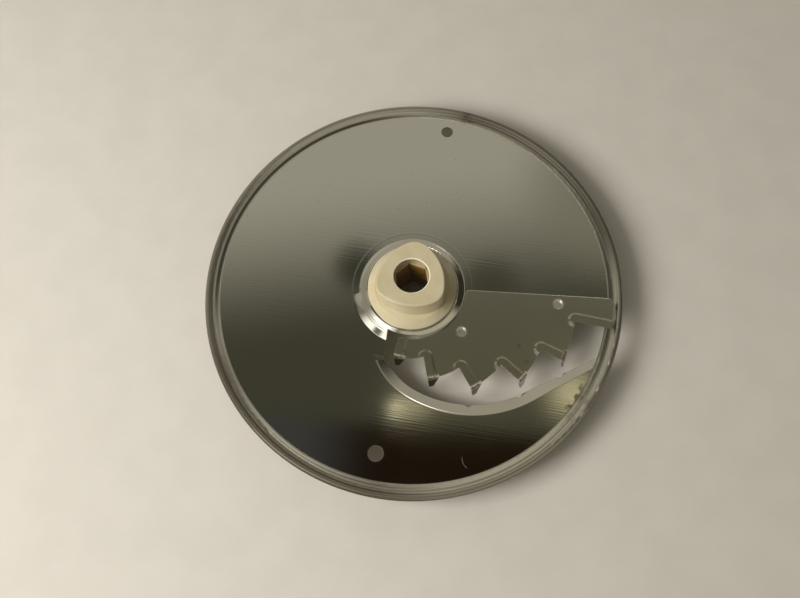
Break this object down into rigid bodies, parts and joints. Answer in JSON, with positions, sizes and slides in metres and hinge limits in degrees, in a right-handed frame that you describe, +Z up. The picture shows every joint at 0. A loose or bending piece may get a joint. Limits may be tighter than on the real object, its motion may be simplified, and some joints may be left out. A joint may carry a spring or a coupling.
{
  "type": "food processor disc",
  "caption": "Round stamped steel cutting disc for a food processor, with a stepped chipping blade over a window and a moulded plastic drive hub.",
  "frame": {"origin": "on the drive axis at the foot of the hub, the lowest point of the disc", "axes": "+Z up along the drive axis, out of the hub's boss; +X along the straight rear edge of the blade, out to the rim"},
  "size_m": [0.175, 0.175, 0.0295],
  "materials": {
    "plate_steel": "satin",
    "blade_steel": "satin",
    "hub_plastic": "semi-gloss"
  },
  "bodies": {
    "root": {"disc_plate": "plate_steel", "blade": "blade_steel", "hub": "hub_plastic"}
  },
  "joints": []
}
